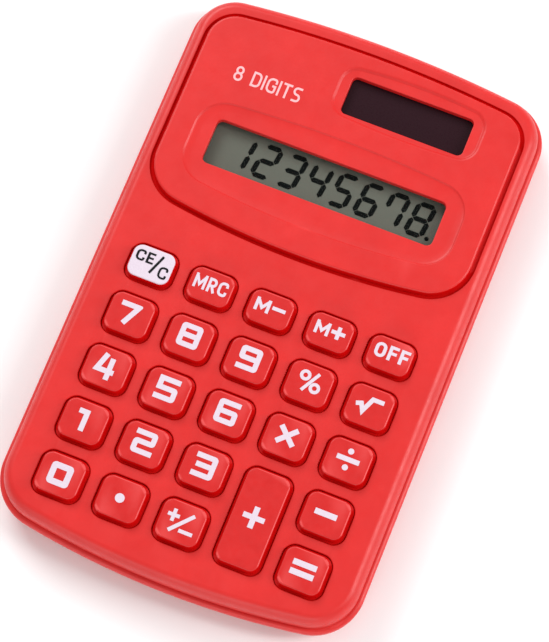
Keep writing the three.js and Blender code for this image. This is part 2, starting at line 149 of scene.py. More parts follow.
def outline_points(outline, corner_steps, arc_steps):
    """The outline's points, anticlockwise from the right-hand side."""
    points = []

    def sweep(x, y, radius, start, end, steps, ends):
        first, last = (0, steps) if ends else (1, steps - 1)
        for i in range(first, last + 1):
            angle = start + (end - start) * i / steps
            points.append((x + radius * math.cos(angle), y + radius * math.sin(angle)))

    def end_of(limit, arc, corner, upward):
        across = outline["half_width"] - corner
        along = math.sqrt((arc - corner) ** 2 - across ** 2)
        arc_y = limit - upward * arc
        corner_y = arc_y + upward * along
        tilt = math.atan2(along, across)
        start = 0 if upward > 0 else math.pi
        near, far = outline["x"] + upward * across, outline["x"] - upward * across
        sweep(near, corner_y, corner, start, start + tilt, corner_steps, True)
        sweep(outline["x"], arc_y, arc, start + tilt, start + math.pi - tilt, arc_steps, False)
        sweep(far, corner_y, corner, start + math.pi - tilt, start + math.pi, corner_steps, True)

    end_of(outline["top"], outline["top_arc"], outline["top_corner"], 1)
    end_of(outline["bottom"], outline["bottom_arc"], outline["bottom_corner"], -1)
    return points


def circle_points(x, y, radius, sides=40):
    steps = [2 * math.pi * i / sides for i in range(sides)]
    return [(x + radius * math.cos(a), y + radius * math.sin(a)) for a in steps]


# ------------------------------------------------------------------ surfaces

def rounded_edge(radius, top, steps):
    """Levels (inset, z) of a rounded upper edge, from the flat top outward and down."""
    levels = []
    for i in range(steps + 1):
        angle = math.pi / 2 * i / steps
        levels.append((radius * (1 - math.sin(angle)), top - radius * (1 - math.cos(angle))))
    return levels


def rounded_mouth(radius, top):
    """Levels of a hole's rounded upper edge, from the flat around it inward and down."""
    return [(-by, z) for by, z in rounded_edge(radius, top, 4)]


def triangulate(points, rings):
    """Triangles between flat rings of point numbers, the point that each of their corners came from,
    and the rings that each triangle is inside."""
    used = [v for ring in rings for v in ring]
    order = {v: i for i, v in enumerate(used)}
    flat = [Vector(points[v][:2]) for v in used]
    faces = [[order[v] for v in ring] for ring in rings]
    _, _, triangles, from_points, _, inside = delaunay_2d_cdt(flat, [], faces, 0, 1e-6, True)
    back = [used[origin[0]] if origin else None for origin in from_points]
    return triangles, back, inside


class Skin:
    """A closed surface in the making, from level loops of points."""

    def __init__(self):
        self.points = []
        self.faces = []
        self.marks = {}

    def loop(self, outline, z):
        """Adds an outline's points at a height, and returns their numbers."""
        first = len(self.points)
        self.points.extend((x, y, z) for x, y in outline)
        return list(range(first, len(self.points)))

    def band(self, lower, upper, mark=0):
        """Joins two loops of the same length with quads."""
        count = len(lower)
        for i in range(count):
            j = (i + 1) % count
            self.marks[len(self.faces)] = mark
            self.faces.append((lower[i], lower[j], upper[j], upper[i]))

    def wall(self, outline, levels, corner_steps=8, arc_steps=8, marked=()):
        """Joins one outline's loops at several levels (inset, z), and returns the loops."""
        loops = [
            self.loop(outline_points(inset(outline, by), corner_steps, arc_steps), z)
            for by, z in levels
        ]
        for i, pair in enumerate(zip(loops, loops[1:])):
            self.band(*pair, mark=1 if i in marked else 0)
        return loops

    def tube(self, x, y, levels, sides=40):
        """The same for a round outline, with levels (radius, z)."""
        loops = [self.loop(circle_points(x, y, radius, sides), z) for radius, z in levels]
        for pair in zip(loops, loops[1:]):
            self.band(*pair)
        return loops

    def fill(self, outer, holes=(), mark=0):
        """Closes a flat region between a loop and the holes inside it."""
        triangles, back, inside = triangulate(self.points, [outer, *holes])
        for triangle, rings in zip(triangles, inside):
            if list(rings) == [0]:
                self.marks[len(self.faces)] = mark
                self.faces.append(tuple(back[v] for v in triangle))

    def make(self, name, materials, smooth_angle=35):
        """Makes the piece. A face's mark is the number of its material."""
        mesh = bpy.data.meshes.new(name)
        mesh.from_pydata([Vector(p) * MM for p in self.points], [], self.faces)
        for number, mark in self.marks.items():
            mesh.polygons[number].material_index = mark
        work = bmesh.new()
        work.from_mesh(mesh)
        bmesh.ops.recalc_face_normals(work, faces=work.faces)
        work.to_mesh(mesh)
        work.free()
        for material in materials:
            mesh.materials.append(material)
        return finish_mesh(name, mesh, smooth_angle)


def finish_mesh(name, mesh, smooth_angle=35):
    """Puts a mesh in the scene, shaded smooth except over its sharp edges."""
    mesh.validate()
    piece = bpy.data.objects.new(name, mesh)
    bpy.context.scene.collection.objects.link(piece)
    mesh.shade_smooth()
    mesh.set_sharp_from_angle(angle=math.radians(smooth_angle))
    weighted = piece.modifiers.new("weighted normals", "WEIGHTED_NORMAL")
    weighted.keep_sharp = True
    weighted.weight = 80
    return piece


# ------------------------------------------------------------------ materials

class Look:
    """A node material on one Principled shader."""

    def __init__(self, name, **sockets):
        self.material = bpy.data.materials.new(name)
        self.material.use_nodes = True
        self.tree = self.material.node_tree
        self.shader = self.tree.nodes["Principled BSDF"]
        self.set(self.shader, **sockets)
        self.place = self.node("ShaderNodeTexCoord").outputs["Object"]

    def set(self, node, **sockets):
        for socket, value in sockets.items():
            node.inputs[socket.replace("_", " ")].default_value = value

    def node(self, kind, links=None, properties=None, **sockets):
        made = self.tree.nodes.new(kind)
        for key, value in (properties or {}).items():
            setattr(made, key, value)
        self.set(made, **sockets)
        for socket, source in (links or {}).items():
            self.tree.links.new(source, made.inputs[socket])
        return made

    def noise(self, size_mm, detail=3.0, roughness=0.55):
        """Noise whose features are about size_mm across."""
        made = self.node(
            "ShaderNodeTexNoise", {"Vector": self.place},
            Scale=1 / (size_mm * MM), Detail=detail, Roughness=roughness,
        )
        return made.outputs["Fac"]

    def span(self, source, low, high, source_low=0.3, source_high=0.7):
        """Rescales a number from one range to another."""
        made = self.node("ShaderNodeMapRange", {"Value": source})
        self.set(made, From_Min=source_low, From_Max=source_high, To_Min=low, To_Max=high)
        return made.outputs["Result"]

    def blend(self, amount, first, second):
        """A colour between two colours, each a value or another colour's output."""
        made = self.node("ShaderNodeMix", properties={"data_type": "RGBA"})
        self.tree.links.new(amount, made.inputs[0])
        for socket, colour in ((made.inputs[6], first), (made.inputs[7], second)):
            if isinstance(colour, tuple):
                socket.default_value = (*colour, 1)
            else:
                self.tree.links.new(colour, socket)
        return made.outputs[2]

    def edges(self, low=0.52, high=0.6):
        """Near 1 where the surface bends outward sharply, and 0 on flats."""
        geometry = self.node("ShaderNodeNewGeometry")
        return self.span(geometry.outputs["Pointiness"], 0, 1, low, high)

    def colour(self, source):
        self.tree.links.new(source, self.shader.inputs["Base Color"])

    def roughness(self, source):
        self.tree.links.new(source, self.shader.inputs["Roughness"])

    def bump(self, *layers):
        """Adds bumps, each (height source, depth in mm)."""
        normal = None
        for height, depth_mm in layers:
            links = {"Height": height}
            if normal:
                links["Normal"] = normal
            made = self.node("ShaderNodeBump", links, Strength=1.0, Distance=depth_mm * MM)
            normal = made.outputs["Normal"]
        self.tree.links.new(normal, self.shader.inputs["Normal"])


def moulded_plastic(name, colour, roughness=0.42, shine=0.5):
    """Injection-moulded plastic: fine spark texture, faint flow mottling, and paler sharp edges painted as a
    highlight.
    """
    look = Look(name, Specular_IOR_Level=shine)
    pale = tuple(min(1, c * 1.05 + 0.003) for c in colour)
    deep = tuple(c * 0.93 for c in colour)
    edge_highlight = tuple(min(1, c * 1.06 + 0.03) for c in colour)
    flow = look.blend(look.span(look.noise(9, 4), 0, 1), deep, pale)
    speck = look.blend(look.span(look.noise(0.5, 2), 0, 0.35), flow, deep)
    # Sharp edges are lightened as a painted highlight.
    look.colour(look.blend(look.span(look.edges(), 0, 0.5, 0, 1), speck, edge_highlight))
    look.roughness(look.span(look.noise(2.5, 5), roughness - 0.05, roughness + 0.06))
    look.bump((look.noise(0.16, 3, 0.7), 0.012), (look.noise(0.6, 2), 0.012))
    return look.material


def silicone_rubber(name, colour, roughness=0.45):
    """Moulded silicone: very fine grain, softly mottled, and its sharp edges painted paler as a highlight.
    """
    look = Look(name, Specular_IOR_Level=0.5)
    pale = tuple(min(1, c * 1.04 + 0.004) for c in colour)
    deep = tuple(c * 0.95 for c in colour)
    edge_highlight = tuple(min(1, c * 1.15 + 0.07) for c in colour)
    flow = look.blend(look.span(look.noise(3, 4), 0, 1), deep, pale)
    # Sharp edges are lightened as a painted highlight.
    look.colour(look.blend(look.span(look.edges(), 0, 0.9, 0, 1), flow, edge_highlight))
    look.roughness(look.span(look.noise(1.1, 4), roughness - 0.06, roughness + 0.08))
    look.bump((look.noise(0.12, 3, 0.7), 0.01), (look.noise(1.5, 2), 0.02))
    return look.material


def printed_ink(name, colour, second, roughness=0.55, shine=0.4):
    """Screen-printed ink, with a slight weave from the screen and uneven cover."""
    look = Look(name, Specular_IOR_Level=shine)
    look.colour(look.blend(look.span(look.noise(0.35, 4, 0.65), 0, 1), colour, second))
    look.roughness(look.span(look.noise(0.3, 3), roughness - 0.08, roughness + 0.08))
    look.bump((look.noise(0.14, 2), 0.006))
    return look.material


def clear_glass(name, colour, alpha, roughness):
    """A clear plate, with faint smears in its gloss."""
    look = Look(name, Alpha=alpha, Specular_IOR_Level=0.15)
    smeared = tuple(c * 0.94 for c in colour)
    look.colour(look.blend(look.span(look.noise(6, 3), 0, 1), colour, smeared))
    look.roughness(look.span(look.noise(4, 5), roughness, roughness + 0.07))
    look.bump((look.noise(14, 1), 0.004))
    look.material.surface_render_method = "BLENDED"
    return look.material


def metal(name, colour, roughness):
    """Plated or stamped metal, finely brushed and a little stained."""
    look = Look(name, Metallic=1.0)
    stained = tuple(c * 0.8 for c in colour)
    look.colour(look.blend(look.span(look.noise(1.6, 5), 0, 1), colour, stained))
    look.roughness(look.span(look.noise(0.5, 4), roughness - 0.08, roughness + 0.12))
    look.bump((look.noise(0.1, 3), 0.004))
    return look.material


RED = (0.685, 0.012, 0.010)
KEY_RED = (0.61, 0.002, 0.001)
# A darker, deeper red with little shine: painted shade for the case's gaps and the keys' lower sides.
SHADE_RED = (0.60, 0.001, 0.001)
CASE = moulded_plastic("case plastic", RED)
# A copy of the case plastic with painted shade, for faces deep in the key holes and in the panel's channel.
SHADED_CASE = moulded_plastic("case plastic with painted shade in the gaps", SHADE_RED, 0.6, 0.04)
RUBBER = silicone_rubber("key rubber", KEY_RED)
# A copy of the key rubber with painted shade, for a key's sides below its top.
SHADED_KEY_SIDE = moulded_plastic("key rubber with painted shade on the sides", SHADE_RED, 0.65, 0.04)
WHITE_INK = printed_ink("white ink", (0.74, 0.64, 0.73), (0.69, 0.575, 0.665))
PINK_INK = printed_ink("pale pink ink", (0.95, 0.52, 0.54), (0.9, 0.42, 0.44))
BLACK_INK = printed_ink("black ink", (0.008, 0.008, 0.010), (0.016, 0.015, 0.017), 0.6, 0.1)
SEGMENT_INK = printed_ink("display segments", (0.002, 0.003, 0.003), (0.004, 0.005, 0.005), 0.6, 0.03)
DISPLAY_GLASS = clear_glass("display glass", (0.05, 0.055, 0.045), 0.03, 0.12)
GREY_FILM = moulded_plastic("display reflector", (0.116, 0.124, 0.098), 0.5, 0.15)
STEEL = metal("nickel plate", (0.62, 0.61, 0.60), 0.28)
SILICON = printed_ink("solar silicon", (0.025, 0.0072, 0.0115), (0.022, 0.0062, 0.0100), 0.3, 0.12)
GREEN_BOARD = moulded_plastic("solder mask", (0.03, 0.17, 0.06), 0.35)
RESIN = moulded_plastic("black resin", (0.012, 0.012, 0.014), 0.3)
FILM = moulded_plastic("dark film", (0.015, 0.014, 0.013), 0.5)
RED_PVC = moulded_plastic("red insulation", (0.5, 0.02, 0.015), 0.45)
BLACK_PVC = moulded_plastic("black insulation", (0.015, 0.015, 0.016), 0.45)
SLEEVE = moulded_plastic("capacitor sleeve", (0.02, 0.06, 0.25), 0.3)
DIODE = moulded_plastic("diode glass", (0.55, 0.16, 0.05), 0.2)
# The material of each CAD node, by how its name starts.
NODE_LOOKS = {
    "keypad_mat": RUBBER, "circuit_board": GREEN_BOARD, "lcd_rear_glass": DISPLAY_GLASS,
    "lcd_reflector": GREY_FILM, "lcd_ribbon": FILM, "button_cell": STEEL,
    "battery_contact": STEEL, "solar_wire_positive": RED_PVC, "battery_wire_positive": RED_PVC,
    "solar_wire_negative": BLACK_PVC, "battery_wire_negative": BLACK_PVC, "chip_cover": RESIN,
    "storage_capacitor": SLEEVE, "clamp_diode": DIODE, "case_screw": STEEL, "board_screw": STEEL,
    "lcd_front_glass": DISPLAY_GLASS, "solar_cell": SILICON, "rear_case": CASE, "battery_door": CASE,
    "key_": RUBBER, "front_case": CASE,
}
for node_name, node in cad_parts.items():
    look = next(look for start, look in NODE_LOOKS.items() if node_name.startswith(start))
    node.data.materials.clear()
    node.data.materials.append(look)


# ------------------------------------------------------------------ front case

def key_nodes():
    return [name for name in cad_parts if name.startswith("key_")]


def key_base(node):
    """The outline of a key's top. The key's box is larger on every side by its flange."""
    low, high = box_mm(node)
    middle = (low + high) / 2
    size = high - low
    width, height = size.x - 2 * KEY_FLANGE, size.y - 2 * KEY_FLANGE
    return plate(middle.x, middle.y, width, height, 1.7)


def front_case():
    """The upper shell: its outside, key openings, panel with its groove, recesses and windows."""
    skin = Skin()
    shoulder = [
        (SET_BACK + SHOULDER_ACROSS * (1 - math.cos(a)), FACE - SHOULDER_DOWN * (1 - math.sin(a)))
        for a in (math.pi / 2 * i / 12 for i in range(13))
    ]
    inner = SET_BACK + WALL
    levels = [
        (inner + 1.2, ROOF_UNDERSIDE), (inner, 8), (inner, SEAM),
        (SET_BACK + 0.08, SEAM), (SET_BACK + 0.02, SEAM + 0.02), (SET_BACK, SEAM + 0.08), *shoulder,
    ]
    outside = skin.wall(BODY, levels, 16, 32)
    mouths, ends = [], []
    for node in key_nodes():
        hole = inset(key_base(node), -KEY_DRAFT - KEY_GAP)
        hole_levels = [*rounded_mouth(0.22, FACE), (0, ROOF_UNDERSIDE)]
        # The deeper bands of the hole's wall take the red painted as shade.
        loops = skin.wall(hole, hole_levels, 9, 1, marked=(3, 4))
        mouths.append(loops[0])
        ends.append(loops[-1])

    outer_wall = CHANNEL_WIDTH + 0.05
    channel_levels = [
        *[(by - outer_wall, z) for by, z in rounded_mouth(0.12, FACE)],
        (-CHANNEL_WIDTH - 0.03, CHANNEL_FLOOR + 0.12), (-CHANNEL_WIDTH + 0.1, CHANNEL_FLOOR),
        (-CHANNEL_DRAFT - 0.1, CHANNEL_FLOOR), (-CHANNEL_DRAFT + 0.02, CHANNEL_FLOOR + 0.12),
        *reversed(rounded_edge(0.45, PANEL_FACE, 6)),
    ]
    # The channel's floor and walls take the red painted as shade.
    channel = skin.wall(PANEL, channel_levels, 16, 32, marked=range(3, 10))
    skin.fill(outside[-1], [channel[0], *mouths])

    display_levels = [
        (-0.12, PANEL_FACE), (-0.03, PANEL_FACE - 0.03), (0.05, PANEL_FACE - 0.1),
        (0.15, PANEL_FACE - 0.2), (0.3, PANEL_FACE - 0.27), (0.7, PANEL_FACE - 0.32),
        (1.2, RECESS_FLOOR + 0.03), (1.7, RECESS_FLOOR),
    ]
    display = skin.wall(DISPLAY_RECESS, display_levels, 16, 24)
    solar_levels = [
        (-0.35, PANEL_FACE), (-0.1, PANEL_FACE - 0.04), (0.15, PANEL_FACE - 0.2),
        (0.35, RECESS_FLOOR + 0.03), (0.5, RECESS_FLOOR),
    ]
    solar = skin.wall(SOLAR_RECESS, solar_levels, 12, 16)
    skin.fill(channel[-1], [display[0], solar[0]])
    for floor, window, pocket in (
        (display[-1], DISPLAY_WINDOW, DISPLAY_POCKET),
        (solar[-1], SOLAR_WINDOW, SOLAR_POCKET),
    ):
        loops = skin.wall(window, [*rounded_mouth(0.15, RECESS_FLOOR), (0, POCKET_ROOF)], 6, 1)
        skin.fill(floor, [loops[0]])
        sides = skin.wall(pocket, [(0, POCKET_ROOF), (0, ROOF_UNDERSIDE)], 4, 1)
        skin.fill(sides[0], [loops[-1]])
        ends.append(sides[-1])
    skin.fill(outside[0], ends)
    piece = skin.make("front_shell", [CASE, SHADED_CASE])
    return place(piece, "casing", "case_plastic", "front_case")


def place(piece, body, slot, *nodes):
    """Makes a piece ride on a body, and lets it stand for CAD nodes by hiding them. Its slot is not used."""
    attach(piece, body)
    if nodes:
        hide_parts(*nodes)
    return piece


# ------------------------------------------------------------------ rear case

def closed_stack(outline, levels, corner_steps=8, arc_steps=8):
    """A closed solid through an outline at several levels (inset, z)."""
    skin = Skin()
    loops = skin.wall(outline, levels, corner_steps, arc_steps)
    skin.fill(loops[0])
    skin.fill(loops[-1])
    return skin


def closed_tube(x, y, levels, sides=40):
    """A closed solid of revolution with levels (radius, z)."""
    skin = Skin()
    loops = skin.tube(x, y, levels, sides)
    skin.fill(loops[0])
    skin.fill(loops[-1])
    return skin


def block(x0, x1, y0, y1, z0, z1):
    """A closed box."""
    sides = between((x0 + x1) / 2, (x1 - x0) / 2, y0, y1, 0.02)
    return closed_stack(sides, [(0, z0), (0, z1)], 1, 1)


def combine(name, materials, base, steps, smooth_angle=32):
    """Joins solids to a base, and cuts others out of it, in order."""
    target = base.make(name, materials, smooth_angle)
    target.modifiers.clear()
    operands = []
    for operation, solid in steps:
        operand = solid.make("operand", materials)
        operand.modifiers.clear()
        modifier = target.modifiers.new("step", "BOOLEAN")
        modifier.operation = operation
        modifier.solver = "MANIFOLD"
        modifier.object = operand
        operands.append(operand)
    shown = target.evaluated_get(bpy.context.evaluated_depsgraph_get())
    mesh = bpy.data.meshes.new_from_object(shown)
    for made in (target, *operands):
        old = made.data
        bpy.data.objects.remove(made)
        bpy.data.meshes.remove(old)
    mesh.name = name
    return finish_mesh(name, mesh, smooth_angle)


def centre_of(node):
    """The middle of a CAD node's box in millimetres."""
    low, high = box_mm(node)
    return (low + high) / 2


def rear_case():
    """The lower shell: hollow, with feet, screw posts, and a cup and a doorway for the cell."""
    inner = SET_BACK + WALL
    corner = [
        (REAR_ACROSS * (1 - math.sin(a)), REAR_FACE + REAR_DOWN * (1 - math.cos(a)))
        for a in (math.pi / 2 * i / 12 for i in range(13))
    ]
    rim = rear_high.z
    lip = [
        (LIP * (1 - math.cos(a)), rim - LIP * (1 - math.sin(a)))
        for a in (math.pi / 2 * i / 7 for i in range(8))
    ]
    outer = closed_stack(BODY, [*corner, *lip], 16, 32)
    hollow = [
        (REAR_ACROSS + 0.9, FLOOR_TOP), (REAR_ACROSS + 0.2, FLOOR_TOP + 0.4), (inner, 3.4),
        (inner, rim + 1),
    ]
    steps = [("DIFFERENCE", closed_stack(BODY, hollow, 16, 32))]
    for x, y in NUBS:
        levels = [(1.5, 0), (1.95, 0.05), (2.15, 0.2), (2.2, REAR_FACE + 0.5)]
        steps.append(("UNION", closed_tube(x, y, levels)))
    x, y = centre_of("button_cell")[:2]
    bay = closed_stack(inset(DOOR, -1.2), [(0, FLOOR_TOP - 0.5), (0, CUP_FLOOR)], 6, 1)
    cup = [(CUP_OUTER, CUP_FLOOR - 0.3), (CUP_OUTER, CUP_TOP - 0.2), (CUP_OUTER - 0.2, CUP_TOP)]
    steps += [("UNION", bay), ("UNION", closed_tube(x, y, cup, 64))]
    for node in CASE_SCREWS:
        at = centre_of(node)
        post = [(POST_RADIUS, 1), (POST_RADIUS, rim - 0.15), (POST_RADIUS - 0.15, rim)]
        steps.append(("UNION", closed_tube(at.x, at.y, post)))
    above = CUP_TOP + 1
    front_notch = block(x - NOTCH_HALF, x + NOTCH_HALF, y - NOTCH_REACH, y, CUP_FLOOR, above)
    right_notch = block(x, x + NOTCH_REACH, y - NOTCH_HALF, y + NOTCH_HALF, CUP_FLOOR, above)
    doorway = closed_stack(DOOR, [(-0.5, 0.3), (-0.33, 0.48), (-0.3, 0.6), (-0.3, 1.5)], 8, 1)
    bore = closed_tube(x, y, [(CUP_INNER, 0), (CUP_INNER, above)], 64)
    steps += [("DIFFERENCE", solid) for solid in (front_notch, right_notch, doorway, bore)]
    counterbore = [(2.35, 0.3), (2.13, 0.52), (2.1, 0.7), (2.1, 2.6)]
    thread = [(THREAD_RADIUS, 1), (THREAD_RADIUS, rim + 1)]
    for node in CASE_SCREWS:
        at = centre_of(node)
        steps.append(("DIFFERENCE", closed_tube(at.x, at.y, counterbore)))
        steps.append(("DIFFERENCE", closed_tube(at.x, at.y, thread, 24)))
    piece = combine("rear_shell", [CASE], outer, steps)
    place(piece, "casing", "case_plastic", "rear_case")


def battery_door():
    """The door, with its boss inside and three finger grooves outside."""
    levels = [
        (0.35, REAR_FACE), (0.1, REAR_FACE + 0.06), (0, REAR_FACE + 0.25), (0, 1.1), (0.1, 1.2),
    ]
    x, y = centre_of("button_cell")[:2]
    boss = [(SPIGOT, 1), (SPIGOT, door_high.z - 0.1), (SPIGOT - 0.1, door_high.z)]
    steps = [("UNION", closed_tube(x, y, boss, 64))]
    for i in range(3):
        along = DOOR["bottom"] + 2.2 + 1.3 * i
        groove = between(x, 4, along - 0.3, along + 0.3, 0.28)
        depths = [(-0.1, REAR_FACE - 0.1), (0, REAR_FACE + 0.08), (0.12, REAR_FACE + 0.3)]
        steps.append(("DIFFERENCE", closed_stack(groove, depths, 6, 1)))
    piece = combine("door_shell", [CASE], closed_stack(DOOR, levels, 8, 1), steps)
    place(piece, "battery_door", "case_plastic", "battery_door")


def screw(node):
    """A pan-head screw with a cross recess, its head at the bottom."""
    low, high = box_mm(node)
    middle = (low + high) / 2
    x, y, head = middle.x, middle.y, low.z
    levels = [
        (0.9, head), (1.35, head + 0.1), (1.62, head + 0.28), (1.72, head + 0.5), (1.72, head + 1),
        (0.8, head + 1), (0.8, high.z - 0.6), (0.35, high.z),
    ]
    arm, half, recess_top = 1.05, 0.22, head + 0.55
    steps = [
        ("DIFFERENCE", block(x - arm, x + arm, y - half, y + half, head - 1, recess_top)),
        ("DIFFERENCE", block(x - half, x + half, y - arm, y + arm, head - 1, recess_top)),
    ]
    name = node.replace("screw", "screw_turned")
    piece = combine(name, [STEEL], closed_tube(x, y, levels, 32), steps)
    place(piece, "casing", "steel", node)


def button_cell():
    """A coin-shaped can with a smaller cap above it."""
    x, y = centre_of("button_cell")[:2]
    low, high = cell_low.z, cell_high.z
    levels = [
        (5.45, low), (5.7, low + 0.08), (5.79, low + 0.3), (5.79, high - 0.62), (5.68, high - 0.5),
        (5.2, high - 0.48), (4.95, high - 0.55), (4.78, high - 0.4), (4.72, high - 0.1), (4.55, high),
    ]
    piece = closed_tube(x, y, levels, 72).make("coin_cell", [STEEL], 25)
    place(piece, "casing", "steel", "button_cell")


# ------------------------------------------------------------------ keys

def key_piece(node):
    """A key: a rounded top, drafted sides that widen into a skirt, a flange and a hidden stem."""
    base = key_base(node)
    low = box_mm(node)[0]
    edge = rounded_edge(0.26, KEY_TOP - INK, 5)
    skirt = KEY_DRAFT + KEY_GAP - 0.08
    levels = [
        *edge, (-0.04, FACE + 0.7), (-0.1, FACE + 0.1), (-0.15, FACE - 0.2), (-0.24, FACE - 0.36),
        (-skirt + 0.08, FACE - 0.42), (-skirt, FACE - 0.52), (-skirt, FLANGE_TOP),
        (-KEY_FLANGE, FLANGE_TOP), (-KEY_FLANGE, FLANGE_BOTTOM), (1.6, FLANGE_BOTTOM), (1.6, low.z),
    ]
    skin = Skin()
    white = node == "key_clear"
    loops = skin.wall(base, levels, 9, 1, marked=range(4) if white else ())
    skin.fill(loops[0], mark=1 if white else 0)
    skin.fill(loops[-1])
    piece = skin.make(node.replace("key_", "keycap_"), [RUBBER, WHITE_INK, SHADED_KEY_SIDE])
    # Faces below that depth take the darker red, painted as shade on the key's sides.
    for face in piece.data.polygons:
        if face.center.z < (KEY_TOP - SIDE_SHADE_DEPTH) * MM:
            face.material_index = 2
    return place(piece, node, "key_print" if white else "key_rubber", node)


# ------------------------------------------------------------------ print

def stroke(points, width, closed=False, steps=5):
    """Quads along a centre line of points (x, y) or (x, y, radius of the outer corner)."""
    count, half = len(points), width / 2
    pairs = []
    for i, point in enumerate(points):
        here = Vector(point[:2])
        radius = point[2] if len(point) > 2 else 0
        into = (here - Vector(points[i - 1][:2])).normalized() if closed or i else None
        last = not closed and i == count - 1
        out = None if last else (Vector(points[(i + 1) % count][:2]) - here).normalized()
        if into is None or out is None:
            along = into or out
            side = Vector((-along.y, along.x)) * half
            pairs.append((here + side, here - side))
            continue
        turn = math.atan2(into.x * out.y - into.y * out.x, into.dot(out))
        if abs(turn) < 1e-3:
            side = Vector((-into.y, into.x)) * half
            pairs.append((here + side, here - side))
            continue
        before, after = Vector(points[i - 1][:2]), Vector(points[(i + 1) % count][:2])
        reach = min((here - before).length, (after - here).length)
        radius = min(radius, half + reach / 2 / abs(math.tan(turn / 2)))
        inward = (out - into).normalized() / math.cos(turn / 2)
        centre = here + inward * (radius - half)
        outer_start = Vector((into.y, -into.x)) * math.copysign(1, turn)
        for k in range(steps + 1 if radius else 1):
            away = Matrix.Rotation(turn * k / steps, 2) @ outer_start
            outer = centre + away * radius if radius else here - inward * half
            inner = centre + away * (radius - width) if radius > width else here + inward * half
            pairs.append((inner, outer) if turn > 0 else (outer, inner))
    quads = []
    for i in range(len(pairs) if closed else len(pairs) - 1):
        (a, b), (c, d) = pairs[i], pairs[(i + 1) % len(pairs)]
        quad = [b, d]
        if (c - d).length > 1e-6:
            quad.append(c)
        if (a - c).length > 1e-6:
            quad.append(a)
        if len({(round(p.x, 6), round(p.y, 6)) for p in quad}) > 2:
            quads.append(quad)
    return quads


def bar(x, y, width, height):
    """One upright rectangle about its middle."""
    corners = ((-1, -1), (1, -1), (1, 1), (-1, 1))
    return [[Vector((x + i * width / 2, y + j * height / 2)) for i, j in corners]]


def dot(x, y, diameter):
    """A filled circle."""
    return [[Vector(p) for p in circle_points(x, y, diameter / 2, 24)]]


def ring(x, y, diameter, width):
    """A circle's line, inside its diameter."""
    around = circle_points(x, y, (diameter - width) / 2, 24)
    return stroke(around, width, closed=True)


def print_piece(name, shapes, z, material, body, slot):
    """Thin print in the union of some flat shapes, its underside at height z."""
    points = [p for shape in shapes for p in shape]
    faces, first = [], 0
    for shape in shapes:
        faces.append(list(range(first, first + len(shape))))
        first += len(shape)
    flat, _, triangles, _, _, inside = delaunay_2d_cdt(points, [], faces, 0, 1e-5, True)
    kept = [tuple(t) for t, rings in zip(triangles, inside) if rings]
    used = {}
    for triangle in kept:
        for i in range(3):
            edge = (triangle[i], triangle[(i + 1) % 3])
            if edge[::-1] in used:
                del used[edge[::-1]]
            else:
                used[edge] = True
    count = len(flat)
    vertices = [(p.x * MM, p.y * MM, (z + level) * MM) for level in (0, INK) for p in flat]
    sides = [(a, b, b + count, a + count) for a, b in used]
    tops = [tuple(v + count for v in t) for t in kept]
    bottoms = [t[::-1] for t in kept]
    mesh = bpy.data.meshes.new(name)
    mesh.from_pydata(vertices, [], tops + bottoms + sides)
    work = bmesh.new()
    work.from_mesh(mesh)
    loose = [v for v in work.verts if not v.link_faces]
    bmesh.ops.delete(work, geom=loose, context="VERTS")
    bmesh.ops.recalc_face_normals(work, faces=work.faces)
    work.to_mesh(mesh)
    work.free()
    mesh.materials.append(material)
    piece = finish_mesh(name, mesh, 30)
    return place(piece, body, slot)


def moved(shapes, x, y, slant=0.0):
    """Shapes slanted and moved."""
    return [[Vector((x + (p.x + slant * p.y), y + p.y)) for p in shape] for shape in shapes]


# Bold square digits, about the middle of a key, drawn by their strokes' centre lines.
BOLD = 1.0
LEFT, RIGHT = -1.6, 1.6
TOP, MIDDLE, BOTTOM = 2.15, 0.4, -1.45
ROUND = 0.75


def bold(points, closed=False):
    return stroke(points, BOLD, closed)


def digit(character):
    """The strokes of one bold digit."""
    left, right, top, middle, bottom, r = LEFT, RIGHT, TOP, MIDDLE, BOTTOM, ROUND
    before, past = left - BOLD / 2, right + BOLD / 2
    if character == "0":
        corners = [(-1.6, -1.5, 0.8), (1.55, -1.5, 0.8), (1.55, 1.65, 0.8), (-1.6, 1.65, 0.8)]
        return stroke(corners, 1.15, True)
    if character == "4":
        leg = bold([(-0.7, 2.6), (-1.75, -0.65, 0.1), (1.6, -0.65)])
        return leg + bar(0.6, -0.15, 1.0, 4.3)
    if character == "8":
        corners = [(left, top, r), (right, top, r), (right, bottom, r), (left, bottom, r)]
        return bold(corners, True) + bold([(left, middle), (right, middle)])
    lines = {
        "1": [(-1.5, 1.75), (0.1, 1.75, 0.1), (0.1, bottom - BOLD / 2)],
        "2": [
            (before, top), (right, top, r), (right, middle, r), (left, middle, r),
            (left, bottom, r), (past, bottom),
        ],
        "3": [(before, top), (right, top, r), (right, bottom, r), (before, bottom)],
        "5": [
            (past, top), (left, top, 0.1), (left, middle, 0.1), (right, middle, r),
            (right, bottom, r), (before, bottom),
        ],
        "6": [
            (past, top), (left, top, r), (left, bottom, r), (right, bottom, r),
            (right, middle, r), (left, middle),
        ],
        "7": [(-2.2, 1.85), (1.25, 1.85, 0.3), (-0.65, -1.95)],
        "9": [
            (before, bottom), (right, bottom, r), (right, top, r), (left, top, r),
            (left, middle, r), (right, middle),
        ],
    }
    shapes = bold(lines[character])
    if character == "3":
        shapes += bold([(left - 0.1, middle), (right, middle)])
    return shapes


def strokes(width, *lines):
    """Several open strokes of one width."""
    return [quad for line in lines for quad in stroke(line, width)]


